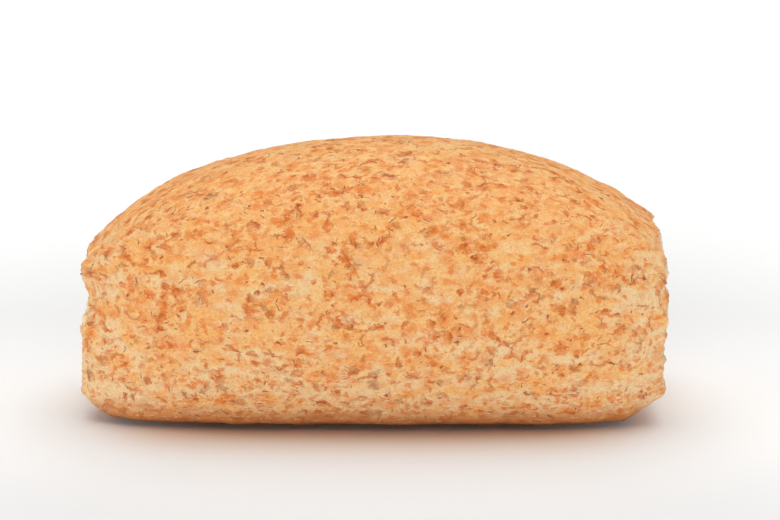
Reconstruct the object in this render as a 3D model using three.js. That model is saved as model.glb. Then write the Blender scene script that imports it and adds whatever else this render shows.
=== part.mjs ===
// A wholemeal bread roll, baked in a batch against its neighbours and torn from them at both ends.
// Millimetres, +Z up. The origin is under the middle of the roll, on the surface it rests on.
// The roll's length lies along X, and its two torn ends face -X and +X.

import * as THREE from 'three';
import { ImprovedNoise } from 'three/addons/math/ImprovedNoise.js';
import { mergeVertices } from 'three/addons/utils/BufferGeometryUtils.js';

// Driving dimensions
const LENGTH = 118;
const DEPTH = 68;
const HEIGHT = 55;
const FOOT_DEPTH = 40;
const BELT_HEIGHT = 25;

// Outlines along X, each a superellipse about its own centre that the torn ends cut short:
// the belt is the widest level, the dome is the crest's height above it, and the foot is what rests flat
const BELT = { centre: 3, left: 64.5, right: 67, exponent: 2.6 };
const DOME = { centre: 4, left: 64.5, right: 60.5, exponent: 1.85 };
const FOOT = { centre: 3, left: 61.5, right: 62, exponent: 5 };
const SECTION_EXPONENT = 2.1;

// The underside lifts off the surface towards each end
const LIFT = { from: 46, left: 4.5, right: 6.5 };

// The torn ends, and the unevenness of dough shaped by hand
const TORN_X = 57.2;
const TORN_MIDDLE_HEIGHT = 22;
const TEAR_BULGE = 0.9;
const TEAR_LUMP = { size: 7, height: 1.8, heldAtRim: 0.5 };
const SWELL = { size: 24, height: 0.7 };

// Mesh density
const STEPS_ALONG = 34;
const STEPS_ACROSS = 16;
const STEPS_UP = 14;
const END_CROWDING = 0.4;
const CORNER_TURN = Math.PI / 3;

const CRUST_COLOUR = 0xe8ad6e;
const CRUST_ROUGHNESS = 0.72;

const noise = new ImprovedNoise();
const quarterTurn = Math.PI / 2;

/** The share of an outline's full width that is left at x, from 1 at its centre to 0 at its reach. */
function shareAt(x, { centre, left, right, exponent }) {
  const along = Math.abs(x - centre) / (x < centre ? left : right);
  return Math.pow(1 - Math.pow(along, exponent), 1 / exponent);
}

/** The dome's cross-section, from angle 0 at the back of the belt over the crest to 180 degrees in front. */
function domePoint(x, angle) {
  const power = 2 / SECTION_EXPONENT;
  const across = Math.sign(Math.cos(angle)) * Math.pow(Math.abs(Math.cos(angle)), power);
  const halfDepth = (DEPTH / 2) * shareAt(x, BELT);
  const rise = (HEIGHT - BELT_HEIGHT) * shareAt(x, DOME);
  return new THREE.Vector3(x, halfDepth * across, BELT_HEIGHT + rise * Math.pow(Math.sin(angle), power));
}

/** The height of the underside above the resting surface at x. */
function liftAt(x) {
  const beyond = Math.max(Math.abs(x) - LIFT.from, 0) / (TORN_X - LIFT.from);
  return (x < 0 ? LIFT.left : LIFT.right) * beyond * beyond;
}

/** The belly's cross-section below the belt: an elliptical corner on each side of the flat foot. */
function bellyPoint(x, angle) {
  const beltHalf = (DEPTH / 2) * shareAt(x, BELT);
  const footHalf = (FOOT_DEPTH / 2) * shareAt(x, FOOT);
  const below = Math.asin(Math.abs(Math.sin(angle)));
  const turn = Math.min(below / CORNER_TURN, 1) * quarterTurn;
  const inwards = Math.max(below - CORNER_TURN, 0) / (quarterTurn - CORNER_TURN);
  const across = footHalf * (1 - inwards) + (beltHalf - footHalf) * Math.cos(turn);
  const height = BELT_HEIGHT - (BELT_HEIGHT - liftAt(x)) * Math.sin(turn);
  return new THREE.Vector3(x, across * Math.sign(Math.cos(angle)), height);
}

/** A point of the crust, pushed out or in by the broad swells that risen dough has. */
function crustPoint(x, angle) {
  const point = Math.sin(angle) > 0 ? domePoint(x, angle) : bellyPoint(x, angle);
  const { size, height } = SWELL;
  const wave = noise.noise(point.x / size, point.y / size, point.z / size);
  const outward = new THREE.Vector3(0, point.y, point.z - BELT_HEIGHT).normalize();
  const held = THREE.MathUtils.smoothstep(point.z, 0, BELT_HEIGHT);
  return point.addScaledVector(outward, wave * height * held);
}

/** How far the torn crumb stands out at a point, where share is 0 in the middle and 1 at the crust. */
function tearRelief(point, share) {
  const { size, height, heldAtRim } = TEAR_LUMP;
  const lump = noise.noise(point.x, point.y / size, point.z / size);
  const held = THREE.MathUtils.lerp(1, heldAtRim, share * share);
  return TEAR_BULGE * (1 - share * share) + lump * height * held;
}

/** A point of a torn face, side -1 or 1, at a share of the way out from its middle to the crust. */
function tornPoint(side, share, angle) {
  const rim = crustPoint(side * TORN_X, angle);
  const point = new THREE.Vector3(side * TORN_X, 0, TORN_MIDDLE_HEIGHT).lerp(rim, share);
  point.x += side * tearRelief(point, share);
  return point;
}

/** The point of the roll for a point on a cube that reaches from -1 to 1 on each axis. */
function rollPoint(cube) {
  const angle = Math.atan2(cube.z, cube.y);
  if (Math.abs(cube.x) === 1) {
    return tornPoint(cube.x, Math.max(Math.abs(cube.y), Math.abs(cube.z)), angle);
  }
  const crowded = Math.sin(cube.x * quarterTurn);
  return crustPoint(TORN_X * THREE.MathUtils.lerp(cube.x, crowded, END_CROWDING), angle);
}

/** A gridded cube drawn out to the roll's form. */
function rollGeometry() {
  const box = new THREE.BoxGeometry(2, 2, 2, STEPS_ALONG, STEPS_ACROSS, STEPS_UP);
  box.deleteAttribute('normal');
  box.deleteAttribute('uv');
  const geometry = mergeVertices(box);
  const position = geometry.getAttribute('position');
  const cube = new THREE.Vector3();
  for (let index = 0; index < position.count; index += 1) {
    const point = rollPoint(cube.fromBufferAttribute(position, index));
    position.setXYZ(index, point.x, point.y, point.z);
  }
  return geometry;
}

/** Brings the roll to its exact length, depth and height, centred over the origin with its base at z = 0. */
function fitToSize(geometry) {
  geometry.computeBoundingBox();
  const size = geometry.boundingBox.getSize(new THREE.Vector3());
  const centre = geometry.boundingBox.getCenter(new THREE.Vector3());
  geometry.translate(-centre.x, -centre.y, 0);
  geometry.scale(LENGTH / size.x, DEPTH / size.y, HEIGHT / size.z);
  geometry.computeVertexNormals();
  return geometry;
}

const crust = new THREE.MeshStandardMaterial({
  color: CRUST_COLOUR,
  roughness: CRUST_ROUGHNESS,
  metalness: 0,
});

const breadRoll = new THREE.Mesh(fitToSize(rollGeometry()), crust);
breadRoll.name = 'bread_roll';

const roll = new THREE.Group();
roll.add(breadRoll);

export default roll;
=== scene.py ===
import math

import bpy
import numpy as np
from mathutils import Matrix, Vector


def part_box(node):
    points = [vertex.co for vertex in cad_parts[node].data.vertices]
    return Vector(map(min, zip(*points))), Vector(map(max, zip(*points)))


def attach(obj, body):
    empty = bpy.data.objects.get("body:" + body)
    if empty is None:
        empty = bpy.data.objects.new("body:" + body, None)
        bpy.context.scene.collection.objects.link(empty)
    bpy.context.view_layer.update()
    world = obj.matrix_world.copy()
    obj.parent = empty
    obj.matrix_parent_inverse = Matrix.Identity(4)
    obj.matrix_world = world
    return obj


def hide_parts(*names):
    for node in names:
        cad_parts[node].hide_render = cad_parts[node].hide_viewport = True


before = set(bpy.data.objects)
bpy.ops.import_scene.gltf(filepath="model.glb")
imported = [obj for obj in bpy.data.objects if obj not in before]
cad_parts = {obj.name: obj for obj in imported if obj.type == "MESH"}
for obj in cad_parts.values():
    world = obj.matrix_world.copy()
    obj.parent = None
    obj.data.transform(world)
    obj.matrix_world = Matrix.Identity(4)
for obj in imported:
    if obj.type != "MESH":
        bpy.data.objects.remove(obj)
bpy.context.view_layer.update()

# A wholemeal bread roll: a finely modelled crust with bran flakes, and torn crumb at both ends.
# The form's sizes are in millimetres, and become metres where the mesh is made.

NODE = "bread_roll"
MM = 0.001

# ---------------------------------------------------------------- the form, as the CAD solid has it

low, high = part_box(NODE)
LENGTH, DEPTH, HEIGHT = ((high[i] - low[i]) / MM for i in range(3))
FOOT_DEPTH = 40.0
BELT_HEIGHT = 25.0
BELT = dict(centre=3.0, left=64.5, right=67.0, exponent=2.6)
DOME = dict(centre=4.0, left=64.5, right=60.5, exponent=1.85)
FOOT = dict(centre=3.0, left=61.5, right=62.0, exponent=5.0)
SECTION_EXPONENT = 2.1
LIFT = dict(start=46.0, left=4.5, right=6.5)
TORN_X = 57.2
TORN_MIDDLE_HEIGHT = 22.0
TEAR_BULGE = 0.9
CORNER_TURN = math.pi / 3
QUARTER_TURN = math.pi / 2

# Steps of the mesh along, across and up, each about half a millimetre
STEPS = (214, 92, 88)


def share_at(x, outline):
    """The share of an outline's full width left at x, from 1 at its centre to 0 at its reach."""
    reach = np.where(x < outline["centre"], outline["left"], outline["right"])
    along = np.abs(x - outline["centre"]) / reach
    return (1 - along ** outline["exponent"]) ** (1 / outline["exponent"])


def crust_points(x, angle):
    """Points of the crust, where angle 0 is the back of the widest level and 90 degrees the crest."""
    cos, sin = np.cos(angle), np.sin(angle)
    power = 2 / SECTION_EXPONENT
    belt_half = DEPTH / 2 * share_at(x, BELT)
    foot_half = FOOT_DEPTH / 2 * share_at(x, FOOT)
    rise = (HEIGHT - BELT_HEIGHT) * share_at(x, DOME)
    beyond = np.maximum(np.abs(x) - LIFT["start"], 0) / (TORN_X - LIFT["start"])
    lift = np.where(x < 0, LIFT["left"], LIFT["right"]) * beyond**2

    below = np.arcsin(np.clip(np.abs(sin), 0, 1))
    turn = np.minimum(below / CORNER_TURN, 1) * QUARTER_TURN
    inwards = np.maximum(below - CORNER_TURN, 0) / (QUARTER_TURN - CORNER_TURN)
    belly_across = foot_half * (1 - inwards) + (belt_half - foot_half) * np.cos(turn)
    belly_height = BELT_HEIGHT - (BELT_HEIGHT - lift) * np.sin(turn)

    is_dome = sin > 0
    across = np.where(is_dome, belt_half * np.abs(cos) ** power, belly_across) * np.sign(cos)
    height = np.where(is_dome, BELT_HEIGHT + rise * np.abs(sin) ** power, belly_height)
    return np.stack([x, across, height], axis=-1)


def between(table, row, column):
    """Reads a table at places between its entries."""
    r = np.clip(row.astype(int), 0, table.shape[0] - 2)
    c = np.clip(column.astype(int), 0, table.shape[1] - 2)
    below, beside = row - r, column - c
    near = table[r, c] * (1 - beside) + table[r, c + 1] * beside
    far = table[r + 1, c] * (1 - beside) + table[r + 1, c + 1] * beside
    return near * (1 - below) + far * below


def unrolled(x, from_crest):
    """A point's place on the crust laid flat: how far along it, down from the crest, and up from the belt."""
    levels = np.linspace(-TORN_X, TORN_X, 231)
    turns = np.linspace(0, math.pi, 181)
    rings = crust_points(*np.meshgrid(levels, QUARTER_TURN - turns, indexing="ij"))
    down = np.linalg.norm(np.diff(rings, axis=1), axis=2).cumsum(axis=1)
    down = np.pad(down, ((0, 0), (1, 0)))
    slope_steps = np.linalg.norm(np.diff(rings, axis=0), axis=2).mean(axis=1)
    along = np.pad(slope_steps.cumsum(), (1, 0))
    row = (np.clip(x, -TORN_X, TORN_X) + TORN_X) / (levels[1] - levels[0])
    beyond = x - np.clip(x, -TORN_X, TORN_X)
    below_crest = between(down, row, from_crest / turns[1])
    above_belt = between(down, row, 0 * x + QUARTER_TURN / turns[1]) - below_crest
    return np.stack([np.interp(row, np.arange(len(along)), along) + beyond, below_crest, above_belt], axis=-1)


def form_points(cube):
    """Draws a cube, -1 to 1, out to the roll.

    Also gives how far each point is inside a torn face, its turn from the crest, and its place on the
    crust laid flat.
    """
    u = cube[:, 0]
    v, w = np.tan(cube[:, 1:].T * math.pi / 4)
    angle = np.arctan2(w, v)
    body = crust_points(TORN_X * (0.75 * u + 0.25 * np.sin(u * QUARTER_TURN)), angle)

    side = np.sign(u)
    share = np.maximum(np.abs(v), np.abs(w))
    rim = crust_points(TORN_X * side, angle)
    middle = np.stack([TORN_X * side, 0 * u, 0 * u + TORN_MIDDLE_HEIGHT], axis=-1)
    torn = middle + (rim - middle) * share[:, None]
    torn[:, 0] += side * TEAR_BULGE * (1 - share**2)
    radius = np.linalg.norm(rim - middle, axis=-1)

    is_torn = np.abs(u) > 1 - 1e-9
    inside = np.where(is_torn, (1 - share) * radius, np.abs(body[:, 0]) - TORN_X)
    from_crest = np.abs(np.mod(angle - QUARTER_TURN + math.pi, 2 * math.pi) - math.pi)
    laid_flat = unrolled(np.where(is_torn, side * (TORN_X + inside), body[:, 0]), from_crest)
    return np.where(is_torn[:, None], torn, body), inside, from_crest, laid_flat


def cube_grid():
    """A gridded cube's corners from -1 to 1, its quads, and for each quad corner its place on its side."""
    points, quads, places, count = [], [], [], 0
    for axis in range(3):
        first, second = (axis + 1) % 3, (axis + 2) % 3
        rows, columns = STEPS[first], STEPS[second]
        a, b = np.meshgrid(np.arange(rows + 1), np.arange(columns + 1), indexing="ij")
        for end in (0, 1):
            side = np.zeros((rows + 1, columns + 1, 3), int)
            side[..., axis] = end * STEPS[axis]
            side[..., first] = a
            side[..., second] = b
            number = count + np.arange(side[..., 0].size).reshape(side.shape[:2])
            count += number.size
            around = [number[:-1, :-1], number[1:, :-1], number[1:, 1:], number[:-1, 1:]]
            quad = np.stack(around if end else around[::-1], axis=-1).reshape(-1, 4)
            points.append(side.reshape(-1, 3))
            quads.append(quad)
            places.append(side_in_map(axis, end, a / rows, b / columns).reshape(-1, 2))
    lattice, merged = np.unique(np.concatenate(points), axis=0, return_inverse=True)
    quads = np.concatenate(quads)
    uv = np.concatenate(places)[quads.ravel()]
    return 2 * lattice / STEPS - 1, merged.ravel()[quads], uv


def side_in_map(axis, end, a, b):
    """Where one side of the cube lies in the UV square: four strips one over another, ends beside them."""
    widths = {(2, 1): 52.0, (1, 0): 50.0, (1, 1): 50.0, (2, 0): 50.0}
    torn_width, torn_height, gap = 46.0, 40.0, 1.5
    square = sum(widths.values())
    if axis == 0:
        across = LENGTH + gap + a * torn_width
        up = end * (torn_height + gap) + b * torn_height
    else:
        along, around = (a, b) if axis == 2 else (b, a)
        names = list(widths)
        base = sum(widths[name] for name in names[: names.index((axis, end))])
        across = along * LENGTH
        up = base + around * (widths[(axis, end)] - gap)
    return np.stack([across, up], axis=-1) / square


def roll_mesh():
    """The smooth roll as a mesh that remembers each point's place before any relief is added."""
    cube, quads, uv = cube_grid()
    points, inside, from_crest, laid_flat = form_points(cube)
    centre = (points.min(axis=0) + points.max(axis=0)) / 2
    points[:, :2] -= centre[:2]
    skin = laid_flat[quads]
    skin[..., 1] *= np.sign(points[quads, 1].mean(axis=1))[:, None]
    mesh = bpy.data.meshes.new("roll")
    mesh.from_pydata((points * MM).tolist(), [], quads.tolist())
    mesh.attributes.new("rest", "FLOAT_VECTOR", "POINT").data.foreach_set("vector", points.ravel())
    mesh.attributes.new("torn", "FLOAT", "POINT").data.foreach_set("value", inside)
    mesh.attributes.new("turn", "FLOAT", "POINT").data.foreach_set("value", np.degrees(from_crest))
    mesh.attributes.new("skin", "FLOAT_VECTOR", "CORNER").data.foreach_set("vector", skin.ravel())
    mesh.uv_layers.new(name="OFBake").data.foreach_set("uv", uv.ravel())
    mesh.polygons.foreach_set("use_smooth", np.ones(len(quads), bool))
    mesh.update()
    return mesh


# ---------------------------------------------------------------- node trees


class Graph:
    """Adds nodes to a tree and feeds their inputs. Crust relief and crust colour share its patterns."""

    def __init__(self, tree):
        self.tree = tree

    def node(self, kind, inputs=None, **settings):
        made = self.tree.nodes.new(kind)
        for name, value in settings.items():
            setattr(made, name, value)
        for key, value in (inputs or {}).items():
            if isinstance(value, bpy.types.NodeSocket):
                self.tree.links.new(value, made.inputs[key])
            else:
                made.inputs[key].default_value = value
        return made

    def math(self, operation, a, b=0.0, c=0.0):
        return self.node("ShaderNodeMath", {0: a, 1: b, 2: c}, operation=operation).outputs[0]

    def vector(self, operation, a, b=(0, 0, 0), scale=1.0):
        inputs = {0: a, 1: b, 3: scale}
        made = self.node("ShaderNodeVectorMath", inputs, operation=operation)
        return made.outputs[1 if operation in ("DOT_PRODUCT", "LENGTH") else 0]

    def add(self, *parts):
        total = parts[0]
        for part in parts[1:]:
            total = self.math("ADD", total, part)
        return total

    def times(self, *parts):
        total = parts[0]
        for part in parts[1:]:
            total = self.math("MULTIPLY", total, part)
        return total

    def ramp(self, value, start, end, low_value=0.0, high_value=1.0):
        """Goes smoothly from low_value at start to high_value at end, and stays there beyond."""
        inputs = {0: value, 1: start, 2: end, 3: low_value, 4: high_value}
        return self.node("ShaderNodeMapRange", inputs, interpolation_type="SMOOTHSTEP").outputs[0]

    def mix(self, share, a, b):
        """Mixes two colours."""
        made = self.node("ShaderNodeMix", {0: share, 6: a, 7: b}, data_type="RGBA")
        return made.outputs[2]

    def blend(self, share, a, b):
        """Mixes two numbers."""
        return self.node("ShaderNodeMix", {0: share, 2: a, 3: b}, data_type="FLOAT").outputs[0]

    def parts(self, vector):
        return self.node("ShaderNodeSeparateXYZ", {0: vector}).outputs

    def shifted(self, place, by):
        return self.vector("ADD", place, (by, 1.7 * by, -0.6 * by))

    def noise(self, place, size, detail=2.0, rough=0.5, output="Fac"):
        """Noise whose features are about size across, from 0 to 1."""
        inputs = {"Vector": place, "Scale": 1 / size, "Detail": detail, "Roughness": rough}
        return self.node("ShaderNodeTexNoise", inputs).outputs[output]

    def wave(self, place, size, detail=2.0, rough=0.5):
        """Noise from about -1 to 1."""
        return self.math("MULTIPLY_ADD", self.noise(place, size, detail, rough), 2.0, -1.0)

    def warped(self, place, size, amount):
        """A place moved about by noise, so that what is drawn there has a ragged outline."""
        moves = self.noise(place, size, 2.0, 0.6, output="Color")
        centred = self.vector("SUBTRACT", moves, (0.5, 0.5, 0.5))
        return self.vector("ADD", place, self.vector("SCALE", centred, scale=2 * amount))

    def flakes(self, place, cell, radius, stretch, share):
        """Scattered flakes lying flat in the crust, one to a cell, each turned its own way.

        For each it gives the distance from its middle over its radius (reach), the distances along and
        across it in millimetres, its radius, whether it is there, and a random number of its own (tone).
        """
        inputs = {"Vector": place, "Scale": 1 / cell, "Randomness": 1.0}
        cells = self.node("ShaderNodeTexVoronoi", inputs, voronoi_dimensions="2D")
        chances = self.parts(cells.outputs["Color"])
        offset = self.parts(self.vector("SUBTRACT", place, cells.outputs["Position"]))
        turn = self.times(chances[2], 2 * math.pi)
        cos, sin = self.math("COSINE", turn), self.math("SINE", turn)
        along = self.add(self.times(offset[0], cos), self.times(offset[1], sin))
        across = self.math("SUBTRACT", self.times(offset[1], cos), self.times(offset[0], sin))
        short = self.times(along, 1 / stretch)
        distance = self.math("SQRT", self.add(self.times(short, short), self.times(across, across)))
        size = self.blend(chances[1], radius[0], radius[1])
        return dict(
            reach=self.math("DIVIDE", distance, size),
            along=along,
            across=across,
            size=size,
            there=self.math("LESS_THAN", chances[0], share),
            tone=self.math("DIVIDE", chances[0], share),
        )

    def fibres(self, flake, length, width):
        """Streaks that run along each flake, from 0 to 1."""
        apart = self.times(flake["tone"], 90.0)
        place = {0: self.add(self.times(flake["along"], width / length), apart), 1: flake["across"], 2: apart}
        return self.ramp(self.noise(self.node("ShaderNodeCombineXYZ", place).outputs[0], width), 0.36, 0.64)


# Where the top of the crust ends, in degrees from the crest, and how far apart the pieces are laid
TOP_REACH, TOP_RAGGED = 42.0, 16.0
TOP_APART, SIDES_APART = 700.0, 300.0


def laid_out(g, rest, skin, turn):
    """The crust laid flat in three pieces, top, front and back, that meet along a ragged line.

    It is drawn in along the roll, so that the bran lies stretched along it.
    """
    along, down, up = g.parts(skin)
    side_up = g.math("MULTIPLY_ADD", g.math("SIGN", down), SIDES_APART, up)
    side = g.node("ShaderNodeCombineXYZ", {0: along, 1: side_up}).outputs[0]
    top = g.node("ShaderNodeCombineXYZ", {0: g.add(along, TOP_APART), 1: down}).outputs[0]
    ragged_turn = g.add(turn, g.times(g.wave(g.shifted(rest, 3.0), 3.5), TOP_RAGGED))
    is_side = g.math("GREATER_THAN", ragged_turn, TOP_REACH)
    place = g.node("ShaderNodeMix", {0: is_side, 4: top, 5: side}, data_type="VECTOR").outputs[1]
    return g.vector("MULTIPLY", place, (0.8, 1.0, 0.0))


# Each kind of bran, in millimetres: how far its pattern is shifted to be its own, the size of the cells
# that hold one flake each, the range of the flakes' radii, and how many times longer than wide they are
BRAN = dict(
    broad=dict(shift=0.0, cell=2.45, radius=(0.4, 1.15), stretch=1.5),
    faint=dict(shift=211.0, cell=2.9, radius=(0.5, 1.3), stretch=1.4),
    shard=dict(shift=57.0, cell=1.35, radius=(0.16, 0.55), stretch=1.8),
    curl=dict(shift=151.0, cell=3.3, radius=(0.6, 1.25), stretch=1.5),
    line=dict(shift=83.0, cell=2.5, radius=(0.5, 1.5), stretch=1.0),
    husk=dict(shift=97.0, cell=3.4, radius=(0.4, 1.1), stretch=1.4),
    speck=dict(shift=119.0, cell=2.7, radius=(0.1, 0.34), stretch=1.8),
)

# The patches where bran crowds, the crumbs that eat at a flake's edge, and the lines, in millimetres
CROWD_SIZE = 8.0
CRUMBLE_SIZE = 0.4
LINE_HALF_WIDTH = 0.15
STRAW_BESIDE_LINE = 0.22


def bran(g, kind, place, share):
    """The flakes of one kind of bran, of which this share of the cells hold one."""
    sizes = BRAN[kind]
    own_place = g.shifted(place, sizes["shift"])
    return g.flakes(own_place, sizes["cell"], sizes["radius"], sizes["stretch"], share)


def crust_patterns(g, place):
    """The bran baked into the crust, each kind as a mask from 0 to 1.

    Broad flakes have a dark core and a pale lip, a painted highlight. Faint ones lie under the surface,
    shards are small, and curls show as an arc. A line is a flake seen edge-on, often with pale straw beside
    it, partly a painted glint. Husks are fibrous, dark in part and pale in part, and specks are the smallest
    and darkest.
    """
    ragged = g.warped(g.warped(place, 1.3, 0.8), 0.45, 0.3)
    crumble = g.noise(g.shifted(place, 37.0), CRUMBLE_SIZE, 3.0, 0.7)
    eaten = g.times(g.add(crumble, -0.5), 2.2)
    crowd = g.ramp(g.noise(g.shifted(place, 31.0), CROWD_SIZE, 1.0), 0.38, 0.62)

    flake = bran(g, "broad", ragged, g.blend(crowd, 0.52, 1.0))
    fibre = g.ramp(g.fibres(flake, 1.4, 0.3), 0.0, 1.0, 0.5, 1.0)
    strength = g.ramp(flake["tone"], 0.1, 1.0, 0.2, 1.0)
    lean = g.math("DIVIDE", flake["across"], flake["size"])
    frayed = g.add(flake["reach"], eaten)
    broad = g.times(g.ramp(frayed, 1.2, 0.4), flake["there"], strength, fibre)
    darker = g.times(g.ramp(lean, -0.2, 0.7), g.ramp(frayed, 1.0, 0.4))
    core = g.times(darker, flake["there"], g.ramp(flake["tone"], 0.45, 0.9))
    # The pale lip on the side away from the dark core is a painted highlight.
    lip_highlight_band = g.ramp(g.math("ABSOLUTE", g.add(frayed, -1.0)), 0.3, 0.05)
    lip_highlight = g.times(lip_highlight_band, g.ramp(lean, -0.3, -0.8), flake["there"], g.ramp(flake["tone"], 0.5, 0.9))

    flake = bran(g, "faint", ragged, 0.75)
    frayed = g.add(flake["reach"], eaten)
    faint = g.times(g.ramp(frayed, 1.3, 0.3), flake["there"], g.ramp(flake["tone"], 0.0, 1.0, 0.2, 1.0))

    flake = bran(g, "shard", ragged, g.blend(crowd, 0.5, 0.95))
    frayed = g.add(flake["reach"], eaten)
    shard = g.times(g.ramp(frayed, 1.15, 0.4), flake["there"], g.ramp(flake["tone"], 0.0, 1.0, 0.25, 1.0))

    flake = bran(g, "curl", ragged, 0.4)
    lean = g.math("DIVIDE", flake["across"], flake["size"])
    off_edge = g.math("ABSOLUTE", g.add(flake["reach"], g.times(eaten, 0.4), -0.8))
    arc = g.times(g.ramp(lean, -0.35, 0.5), g.ramp(off_edge, 0.36, 0.06))
    curl = g.times(arc, flake["there"], g.ramp(flake["tone"], 0.0, 1.0, 0.4, 1.0))

    flake = bran(g, "line", g.warped(place, 1.5, 0.6), g.blend(crowd, 0.05, 0.32))
    along = g.math("DIVIDE", g.math("ABSOLUTE", flake["along"]), g.times(flake["size"], 0.6))
    within = g.times(g.ramp(along, 1.1, 0.5), flake["there"])
    line = g.times(g.ramp(g.math("ABSOLUTE", flake["across"]), LINE_HALF_WIDTH, 0.03), within)
    # Pale straw beside each line, partly a painted glint.
    beside = g.math("ABSOLUTE", g.add(flake["across"], -STRAW_BESIDE_LINE))
    straw_and_glint = g.times(g.ramp(beside, 0.15, 0.04), within, g.ramp(flake["tone"], 0.35, 0.6))

    flake = bran(g, "husk", ragged, g.blend(crowd, 0.06, 0.4))
    husk = g.times(g.ramp(g.add(flake["reach"], eaten), 1.1, 0.4), flake["there"])
    husk_dark = g.times(husk, g.fibres(flake, 0.8, 0.25))
    husk_pale = g.times(husk, g.ramp(crumble, 0.6, 0.72))

    flake = bran(g, "speck", ragged, 0.2)
    speck = g.times(g.ramp(flake["reach"], 1.1, 0.4), flake["there"])
    return dict(
        broad=broad,
        core=core,
        lip_highlight=lip_highlight,
        faint=faint,
        shard=shard,
        curl=curl,
        line=line,
        straw_and_glint=g.math("MAXIMUM", straw_and_glint, husk_pale),
        husk=husk_dark,
        speck=speck,
    )


def torn_share(g, rest, torn):
    """Goes from 0 on the crust to 1 on torn crumb, along a ragged line."""
    ragged = g.add(torn, g.times(g.wave(rest, 3.5, 3.0, 0.6), 2.8), -0.7)
    return g.ramp(ragged, -0.35, 0.35)


# ---------------------------------------------------------------- relief

# Left end -1 or right end 1, height, how far up and down it spreads, and how far it stands out, all in
# millimetres. A bulge below zero is a hollow.
END_BULGES = (
    (-1, 24.0, 7.0, -1.3),
    (-1, 13.5, 4.5, 1.0),
    (-1, 6.5, 2.5, 0.6),
    (1, 17.0, 8.0, -0.9),
    (1, 5.0, 5.0, 1.2),
    (1, 40.5, 4.0, 1.4),
)

# How wide each unevenness of the crust is, and how far it stands out, in millimetres
SWELL = dict(size=28.0, height=0.9)
LUMP = dict(size=7.0, height=0.5)
BUMP = dict(size=2.4, height=0.22, height_at_foot=0.55)

# How far each kind of bran stands out of the crust, in millimetres
FLAKE_RELIEF = dict(broad=0.08, shard=0.05, curl=0.08, husk=0.03)

# The dome is fuller at its shoulders: how far they lie either side of its middle, how wide they are, and
# how far they rise, in millimetres
SHOULDER = dict(middle=2.0, reach=38.0, spread=22.0, rise=0.55)


def raised(g, patterns, heights):
    """The bran as a height: each kind's mask times how far that kind stands out."""
    return g.add(*(g.times(patterns[kind], height) for kind, height in heights.items()))


def crust_relief(g, rest, patterns):
    """How far the crust stands out, in millimetres: swells, lumps, bumps, bran and a fuller shoulder."""
    rest_x, _, rest_z = g.parts(rest)
    swell = g.times(g.wave(rest, SWELL["size"], 1.0), SWELL["height"])
    from_middle = g.math("ABSOLUTE", g.add(rest_x, -SHOULDER["middle"]))
    off_shoulder = g.math("ABSOLUTE", g.add(from_middle, -SHOULDER["reach"]))
    at_shoulder = g.ramp(off_shoulder, SHOULDER["spread"], 0.0)
    shoulders = g.times(at_shoulder, g.ramp(rest_z, 34.0, 42.0), SHOULDER["rise"])
    lumps = g.times(g.wave(g.shifted(rest, 12.0), LUMP["size"], 2.0), LUMP["height"])
    bump_height = g.ramp(rest_z, 8.0, 1.0, BUMP["height"], BUMP["height_at_foot"])
    bumps = g.times(g.wave(g.shifted(rest, 23.0), BUMP["size"], 2.0, 0.6), bump_height)
    return g.add(swell, lumps, bumps, raised(g, patterns, FLAKE_RELIEF), shoulders)


# How wide each unevenness of torn crumb is, and how far it stands out or goes in, in millimetres
CLUMP = dict(size=6.5, height=1.5)
STRAND = dict(size=2.2, height=0.7)
PORE = dict(cell=2.6, radius=(0.4, 1.25), stretch=1.4, share=0.6, depth=1.3)
ENDS_APART = 200.0


def torn_face(g, rest):
    """A torn face as a flat place of its own, the two ends apart."""
    rest_x, rest_y, rest_z = g.parts(rest)
    apart = g.math("MULTIPLY_ADD", g.math("SIGN", rest_x), ENDS_APART, rest_y)
    return g.node("ShaderNodeCombineXYZ", {0: apart, 1: rest_z}).outputs[0]


def crumb_relief(g, rest):
    """How far torn crumb stands out, in millimetres: clumps, strands pulled out of it, and pores."""
    clumps = g.times(g.wave(g.shifted(rest, 41.0), CLUMP["size"], 2.0), CLUMP["height"])
    strands = g.times(g.wave(g.warped(rest, 2.0, 0.8), STRAND["size"], 3.0, 0.65), STRAND["height"])
    pore_place = g.warped(torn_face(g, rest), 1.6, 0.8)
    pore = g.flakes(pore_place, PORE["cell"], PORE["radius"], PORE["stretch"], PORE["share"])
    pores = g.times(g.ramp(pore["reach"], 1.0, 0.4), pore["there"], -PORE["depth"])
    return g.add(clumps, strands, pores)


def end_bulges(g, rest):
    """How far each end stands out, in millimetres, at the heights where it bulges or is pulled in."""
    rest_x, _, rest_z = g.parts(rest)
    total = 0.0
    for end, height, spread, amount in END_BULGES:
        at_end = g.math("GREATER_THAN", g.times(rest_x, end), 0.0)
        off = g.math("ABSOLUTE", g.add(rest_z, -height))
        total = g.add(total, g.times(g.ramp(off, spread, 0.0), at_end, amount))
    return total


# The underside's flat middle, and the rim where it has come away from the table, in millimetres
FLAT_HALF_DEPTH, RIM_HALF_DEPTH = 11.0, 17.0
FLAT_HALF_LENGTH, RIM_HALF_LENGTH = 36.0, 45.0
RIM_GAP, RIM_GAP_VARIES, RIM_GAP_LEAST = 1.15, 1.1, 0.2


def foot_gap(g, rest):
    """How far the rim of the underside stands off the table, in millimetres. The middle rests on it."""
    rest_x, rest_y, _ = g.parts(rest)
    near_side = g.ramp(g.math("ABSOLUTE", rest_y), FLAT_HALF_DEPTH, RIM_HALF_DEPTH)
    near_end = g.ramp(g.math("ABSOLUTE", rest_x), FLAT_HALF_LENGTH, RIM_HALF_LENGTH)
    uneven = g.add(g.times(g.wave(g.shifted(rest, 91.0), 9.0, 4.0, 0.65), RIM_GAP_VARIES), RIM_GAP)
    return g.times(g.math("MAXIMUM", near_side, near_end), g.math("MAXIMUM", uneven, RIM_GAP_LEAST))


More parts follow.
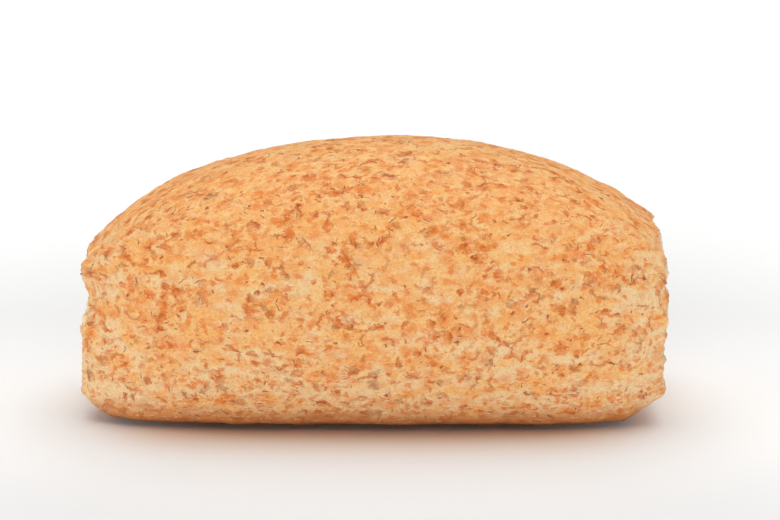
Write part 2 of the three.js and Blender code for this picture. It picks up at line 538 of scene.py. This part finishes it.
# The ragged edge round each torn face: how wide its rags are, how far they stand out, how far the crust
# near it is drawn out with them, in millimetres, and how much of its relief the crust keeps at the foot
RAG_SIZE, RAG_HEIGHT = 5.5, 2.3
DRAWN_OUT = 5.0
FOOT_RELIEF = 0.6


def relief_tree():
    """Geometry nodes that push the smooth roll out to its relief and keep its underside flat."""
    tree = bpy.data.node_groups.new("roll_relief", "GeometryNodeTree")
    tree.interface.new_socket("Geometry", in_out="INPUT", socket_type="NodeSocketGeometry")
    tree.interface.new_socket("Geometry", in_out="OUTPUT", socket_type="NodeSocketGeometry")
    g = Graph(tree)
    rest_node = g.node("GeometryNodeInputNamedAttribute", {"Name": "rest"}, data_type="FLOAT_VECTOR")
    skin_node = g.node("GeometryNodeInputNamedAttribute", {"Name": "skin"}, data_type="FLOAT_VECTOR")
    torn_node = g.node("GeometryNodeInputNamedAttribute", {"Name": "torn"}, data_type="FLOAT")
    turn_node = g.node("GeometryNodeInputNamedAttribute", {"Name": "turn"}, data_type="FLOAT")
    rest, torn = rest_node.outputs[0], torn_node.outputs[0]
    place = laid_out(g, rest, skin_node.outputs[0], turn_node.outputs[0])
    rest_x, _, rest_z = g.parts(rest)

    crumb_share = torn_share(g, rest, torn)
    patterns = crust_patterns(g, place)
    height = g.blend(crumb_share, crust_relief(g, rest, patterns), crumb_relief(g, rest))
    resting = g.ramp(rest_z, 0.0, 5.0, FOOT_RELIEF, 1.0)
    normal = g.node("GeometryNodeInputNormal").outputs[0]
    along_normal = g.vector("SCALE", normal, scale=g.times(height, resting, MM))

    near_tear = g.ramp(torn, -DRAWN_OUT, 0.0)
    ragged = g.times(g.wave(g.shifted(rest, 5.0), RAG_SIZE, 3.0, 0.6), RAG_HEIGHT)
    rags = g.add(ragged, -0.1, end_bulges(g, rest))
    outwards = g.times(g.math("SIGN", rest_x), rags, near_tear, MM)
    sideways = g.node("ShaderNodeCombineXYZ", {0: outwards}).outputs[0]

    offset = g.vector("ADD", along_normal, sideways)
    moved = g.vector("ADD", g.node("GeometryNodeInputPosition").outputs[0], offset)
    moved_x, moved_y, moved_z = g.parts(moved)
    above = g.math("MAXIMUM", moved_z, g.times(foot_gap(g, rest), MM))
    grounded = g.node("ShaderNodeCombineXYZ", {0: moved_x, 1: moved_y, 2: above})

    group_in = g.node("NodeGroupInput")
    settled_at = {"Geometry": group_in.outputs[0], "Position": grounded.outputs[0]}
    settled = g.node("GeometryNodeSetPosition", settled_at)
    g.node("NodeGroupOutput", {0: settled.outputs[0]})
    return tree


def shaped(mesh, name):
    """An object of the mesh with the relief applied to it."""
    rough = bpy.data.objects.new("smooth_roll", mesh)
    bpy.context.scene.collection.objects.link(rough)
    rough.modifiers.new("relief", "NODES").node_group = relief_tree()
    evaluated = rough.evaluated_get(bpy.context.evaluated_depsgraph_get())
    finished = bpy.data.objects.new(name, bpy.data.meshes.new_from_object(evaluated))
    bpy.data.objects.remove(rough)
    bpy.context.scene.collection.objects.link(finished)
    return finished


# ---------------------------------------------------------------- materials


def colour(red, green, blue):
    """A colour given as 0 to 255 on screen, as the linear values that a shader takes."""
    screen = [value / 255 for value in (red, green, blue)]
    linear = [s / 12.92 if s <= 0.04045 else ((s + 0.055) / 1.055) ** 2.4 for s in screen]
    return (*linear, 1.0)


DOUGH_GOLD = colour(246, 184, 106)
DOUGH_TAN = colour(242, 182, 116)
DOUGH_ORANGE = colour(244, 168, 90)
DOUGH_ROSY = colour(242, 180, 126)
DOUGH_PALE = colour(246, 208, 144)
DOUGH_STRETCHED = colour(240, 210, 160)
FLAKE_ORANGE = colour(236, 128, 50)
FLAKE_RED = colour(206, 90, 32)
FLAKE_BROWN = colour(196, 84, 30)
LINE_BROWN = colour(174, 88, 40)
SPECK_BROWN = colour(172, 84, 38)
# Pale straw; also the painted highlight on flake lips and the painted glint on straw.
STRAW_PALE_AND_HIGHLIGHT = colour(255, 232, 190)
FOOT_BROWN = colour(198, 122, 66)
UNDER_BROWN = colour(138, 76, 36)
CRUMB_CREAM = colour(255, 227, 184)
CRUMB_PAINTED_SHADE = colour(228, 170, 112)

# How strongly each kind of bran tints the crust, and with what, from the first laid down to the last
BURIED_BRAN = (
    ("faint", 0.6, FLAKE_ORANGE),
    ("broad", 0.95, FLAKE_ORANGE),
)
SURFACE_BRAN = (
    ("shard", 0.8, FLAKE_ORANGE),
    ("core", 0.85, FLAKE_RED),
    ("curl", 0.7, FLAKE_RED),
    # The lip is a painted highlight.
    ("lip_highlight", 0.25, STRAW_PALE_AND_HIGHLIGHT),
    ("husk", 0.6, FLAKE_BROWN),
    ("line", 0.85, LINE_BROWN),
    # Pale straw, partly a painted glint.
    ("straw_and_glint", 0.65, STRAW_PALE_AND_HIGHLIGHT),
    ("speck", 0.9, SPECK_BROWN),
)


def dough_colour(g, rest, place):
    """The crust before its bran: gold, tan and orange blotches, pale where it was stretched."""
    rest_x, _, rest_z = g.parts(rest)
    drawn = g.vector("MULTIPLY", place, (0.7, 1.0, 0.0))
    shoulder = g.times(g.ramp(rest_z, 30.0, 38.0), g.ramp(rest_z, 53.0, 47.0))
    blotches = g.ramp(g.noise(g.shifted(place, 17.0), 7.0, 4.0), 0.38, 0.62)
    warm = g.ramp(g.noise(g.shifted(place, 43.0), 2.2, 4.0, 0.6), 0.42, 0.66)
    rosy = g.ramp(g.noise(g.shifted(place, 73.0), 1.6, 3.0, 0.6), 0.5, 0.68)
    mottle = g.ramp(g.noise(g.shifted(drawn, 29.0), 1.7, 5.0, 0.75), 0.38, 0.62)
    grain = g.ramp(g.noise(g.shifted(place, 53.0), 0.34, 3.0, 0.75), 0.32, 0.68)
    dough = g.mix(blotches, DOUGH_GOLD, DOUGH_TAN)
    dough = g.mix(g.ramp(shoulder, 0.0, 1.0, 0.0, 0.6), dough, DOUGH_ORANGE)
    dough = g.mix(g.times(warm, 0.75), dough, DOUGH_ORANGE)
    dough = g.mix(g.times(rosy, 0.6), dough, DOUGH_ROSY)
    dough = g.mix(g.times(mottle, g.ramp(grain, 0.0, 1.0, 0.5, 1.0), 0.85), dough, DOUGH_PALE)

    low_down = g.ramp(rest_z, 22.0, 5.0, 0.0, 0.1)
    near_end = g.ramp(g.math("ABSOLUTE", rest_x), 44.0, 57.0, 0.0, 0.07)
    zone = g.times(g.ramp(rest_z, 1.0, 4.0), g.ramp(rest_z, 46.0, 28.0, 0.25, 1.0))
    patch = g.ramp(g.add(g.noise(g.shifted(drawn, 47.0), 3.6, 4.0, 0.6), low_down, near_end), 0.47, 0.66)
    return g.mix(g.times(zone, patch, 0.9), dough, DOUGH_STRETCHED), grain, drawn


def crust_colour(g, rest, place, patterns):
    """The whole crust: dough, its bran, a browned and streaked foot, and a darker underside."""
    rest_z = g.parts(rest)[2]
    dough, grain, drawn = dough_colour(g, rest, place)
    weaker_below = g.ramp(rest_z, 22.0, 6.0, 1.0, 0.72)
    for kind, share, tint in BURIED_BRAN:
        dough = g.mix(g.times(patterns[kind], weaker_below, share), dough, tint)
    for kind, share, tint in SURFACE_BRAN:
        dough = g.mix(g.times(patterns[kind], share), dough, tint)
    dough = g.mix(g.times(g.ramp(grain, 0.5, 0.0), 0.27), dough, FLAKE_BROWN)

    foot_edge = g.add(rest_z, g.times(g.wave(drawn, 3.0, 4.0, 0.65), 2.6))
    dough = g.mix(g.ramp(foot_edge, 6.5, 1.5, 0.0, 0.8), dough, FOOT_BROWN)
    streaked = g.vector("MULTIPLY", place, (0.4, 1.0, 0.0))
    dark_streak = g.ramp(g.noise(g.shifted(streaked, 61.0), 0.55, 3.0, 0.7), 0.56, 0.7)
    pale_streak = g.ramp(g.noise(g.shifted(streaked, 67.0), 0.6, 3.0, 0.7), 0.56, 0.7)
    low = g.ramp(rest_z, 22.0, 7.0, 0.15, 1.0)
    dough = g.mix(g.times(dark_streak, low, 0.5), dough, FLAKE_BROWN)
    dough = g.mix(g.times(pale_streak, low, 0.6), dough, STRAW_PALE_AND_HIGHLIGHT)
    return g.mix(g.ramp(rest_z, 2.2, 0.8, 0.0, 0.85), dough, UNDER_BROWN)


def crumb_colour(g, rest):
    """Torn crumb: cream, with painted shade in its hollows, and bran in it."""
    # Darker where the crumb's strands sink: painted shade in its hollows.
    depth = g.ramp(g.noise(g.warped(rest, 2.0, 0.8), STRAND["size"], 3.0, 0.65), 0.3, 0.62)
    crumb = g.mix(depth, CRUMB_PAINTED_SHADE, CRUMB_CREAM)
    flake = g.flakes(g.warped(torn_face(g, rest), 1.0, 0.8), 2.2, (0.12, 0.55), 2.2, 0.45)
    strength = g.ramp(flake["tone"], 0.0, 1.0, 0.3, 0.85)
    flake_share = g.times(g.ramp(flake["reach"], 1.1, 0.5), flake["there"], strength)
    return g.mix(flake_share, crumb, FLAKE_RED)


# How far each kind of bran stands out in the bump, in millimetres
BRAN_BUMP = dict(broad=0.08, shard=0.08, curl=0.11, husk=0.05, straw_and_glint=0.15, line=-0.08)
CRUST_ROUGHNESS, CRUMB_ROUGHNESS = 0.66, 0.9


def bread_material():
    material = bpy.data.materials.new("wholemeal_bread")
    material.use_nodes = True
    tree = material.node_tree
    tree.nodes.clear()
    g = Graph(tree)
    rest = g.node("ShaderNodeAttribute", attribute_name="rest").outputs["Vector"]
    skin = g.node("ShaderNodeAttribute", attribute_name="skin").outputs["Vector"]
    torn = g.node("ShaderNodeAttribute", attribute_name="torn").outputs["Fac"]
    turn = g.node("ShaderNodeAttribute", attribute_name="turn").outputs["Fac"]
    place = laid_out(g, rest, skin, turn)
    crumb_share = torn_share(g, rest, torn)
    patterns = crust_patterns(g, place)

    base = g.mix(crumb_share, crust_colour(g, rest, place, patterns), crumb_colour(g, rest))
    flake_gloss = g.add(g.times(patterns["broad"], -0.1), g.times(patterns["straw_and_glint"], -0.2))
    crust_rough = g.add(CRUST_ROUGHNESS, flake_gloss, g.times(g.wave(rest, 1.2, 2.0), 0.06))
    rough = g.blend(crumb_share, crust_rough, CRUMB_ROUGHNESS)

    grain = g.times(g.wave(g.shifted(rest, 71.0), 0.7, 3.0, 0.6), 0.065)
    fine = g.add(grain, raised(g, patterns, BRAN_BUMP))
    strands = g.times(g.wave(g.warped(rest, 0.8, 0.4), 0.9, 3.0, 0.65), 0.2)
    bump = {"Height": g.blend(crumb_share, fine, strands), "Strength": 0.8, "Distance": MM}
    normal = g.node("ShaderNodeBump", bump).outputs[0]

    shader = g.node("ShaderNodeBsdfPrincipled", {"Base Color": base, "Roughness": rough, "Normal": normal})
    shader.inputs["IOR"].default_value = 1.4
    shader.inputs["Specular IOR Level"].default_value = 0.25
    shader.inputs["Subsurface Weight"].default_value = 0.12
    shader.inputs["Subsurface Radius"].default_value = (1.0, 0.45, 0.2)
    shader.inputs["Subsurface Scale"].default_value = 0.8 * MM
    g.node("ShaderNodeOutputMaterial", {"Surface": shader.outputs[0]})
    return material


# The floor's colours, and in metres where a painted glow whitens it beside each end of the roll and further
# off, and how far the painted warm bounce light and shade reach from the foot
FLOOR_PALE = (0.85, 0.85, 0.845, 1.0)
FLOOR_PAINTED_BOUNCE = (0.82, 0.65, 0.51, 1.0)
PAINTED_GLOW_BESIDE = dict(middle=(0.085, 0.0, 0.0), reach=0.06, full=0.01, strength=0.11)
PAINTED_GLOW_AWAY = dict(start=0.05, full=0.2, strength=0.18)
FOOT_HALF_SIZE = (0.036, 0.017, 0.0)
PAINTED_BOUNCE_REACH = 0.03


def floor_material():
    """A pale floor with painted light: a glow whitens it away from the roll and beside its ends, and painted
    warm bounce light and shade tint it close to its foot.
    """
    material = bpy.data.materials.new("pale_floor")
    material.use_nodes = True
    tree = material.node_tree
    tree.nodes.clear()
    g = Graph(tree)
    place = g.node("ShaderNodeTexCoord").outputs["Object"]
    away = g.vector("LENGTH", g.vector("MULTIPLY", place, (1.0, 0.7, 1.0)))
    either_side = g.vector("ABSOLUTE", place)
    from_middle = g.vector("SUBTRACT", either_side, PAINTED_GLOW_BESIDE["middle"])
    off_end = g.vector("LENGTH", g.vector("MULTIPLY", from_middle, (1.0, 0.6, 1.0)))
    # A painted glow beside each end of the roll, where its shadow falls.
    beside = g.ramp(off_end, PAINTED_GLOW_BESIDE["reach"], PAINTED_GLOW_BESIDE["full"], 0.0, PAINTED_GLOW_BESIDE["strength"])
    # A painted glow further off.
    glow_away = g.ramp(away, PAINTED_GLOW_AWAY["start"], PAINTED_GLOW_AWAY["full"], 0.0, PAINTED_GLOW_AWAY["strength"])
    outside = g.vector("MAXIMUM", g.vector("SUBTRACT", either_side, FOOT_HALF_SIZE), (0.0, 0.0, 0.0))
    off_foot = g.vector("LENGTH", g.vector("MULTIPLY", outside, (1.4, 1.0, 1.0)))
    # Painted warm bounce light and shade close to the foot.
    base = g.mix(g.ramp(off_foot, 0.0, PAINTED_BOUNCE_REACH), FLOOR_PAINTED_BOUNCE, FLOOR_PALE)
    shader = g.node("ShaderNodeBsdfPrincipled", {"Base Color": base, "Roughness": 0.9})
    shader.inputs["Specular IOR Level"].default_value = 0.1
    shader.inputs["Emission Color"].default_value = (1, 1, 1, 1)
    # The painted glow is the floor's emission.
    tree.links.new(g.add(beside, glow_away), shader.inputs["Emission Strength"])
    g.node("ShaderNodeOutputMaterial", {"Surface": shader.outputs[0]})
    return material


# ---------------------------------------------------------------- the scene

FLOOR_HALF_SIZE = 6.0


def add_floor():
    reach = FLOOR_HALF_SIZE
    corners = [(-reach, -reach, 0), (reach, -reach, 0), (reach, reach, 0), (-reach, reach, 0)]
    mesh = bpy.data.meshes.new("floor")
    mesh.from_pydata(corners, [], [(0, 1, 2, 3)])
    floor = bpy.data.objects.new("floor", mesh)
    floor.data.materials.append(floor_material())
    bpy.context.scene.collection.objects.link(floor)


def aimed(place, target):
    return (Vector(target) - Vector(place)).to_track_quat("-Z", "Y").to_euler()


# Where each light shines from, how wide it looks in degrees, and how strong it is
LIGHTS = (
    ("overhead", (0.03, 0.24, 1.0), 70.0, 2.3),
    ("front_fill", (-0.2, -1.0, 0.04), 20.0, 1.42),
    ("left_fill", (-1.0, -0.35, 0.6), 60.0, 0.4),
    ("right_fill", (1.0, -0.35, 0.6), 60.0, 0.4),
)


def add_light(name, direction, spread, strength):
    """A broad soft light from far off, so that it falls the same on the whole floor."""
    data = bpy.data.lights.new(name, "SUN")
    data.angle = math.radians(spread)
    data.energy = strength
    light = bpy.data.objects.new(name, data)
    light.location = direction
    light.rotation_euler = aimed(direction, (0, 0, 0))
    bpy.context.scene.collection.objects.link(light)


def add_world():
    """A pale studio, brightest low down all round."""
    world = bpy.data.worlds.new("studio")
    world.use_nodes = True
    g = Graph(world.node_tree)
    towards = g.parts(g.node("ShaderNodeTexCoord").outputs["Generated"])
    background = world.node_tree.nodes["Background"]
    background.inputs["Color"].default_value = (1.0, 1.0, 1.0, 1.0)
    world.node_tree.links.new(g.ramp(towards[2], 0.08, 0.22, 1.0, 0.11), background.inputs["Strength"])
    bpy.context.scene.world = world


CAMERA_ELEVATION = math.radians(10.0)
CAMERA_DISTANCE = 0.4427
CAMERA_TARGET = Vector((3.5, 0.0, 29.6)) * MM
CAMERA_LENS = 100.0


def add_camera():
    back = Vector((0, -math.cos(CAMERA_ELEVATION), math.sin(CAMERA_ELEVATION)))
    data = bpy.data.cameras.new("camera")
    data.lens = CAMERA_LENS
    data.sensor_width = 36.0
    data.clip_start = 0.01
    camera = bpy.data.objects.new("camera", data)
    camera.location = CAMERA_TARGET + back * CAMERA_DISTANCE
    camera.rotation_euler = aimed(camera.location, CAMERA_TARGET)
    bpy.context.scene.collection.objects.link(camera)
    bpy.context.scene.camera = camera


roll = shaped(roll_mesh(), "roll_crust_and_crumb")
roll.data.materials.clear()
roll.data.materials.append(bread_material())
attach(roll, "root")
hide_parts(NODE)

add_floor()
for lamp in LIGHTS:
    add_light(*lamp)
add_world()
add_camera()
bpy.context.scene.view_settings.view_transform = "Standard"
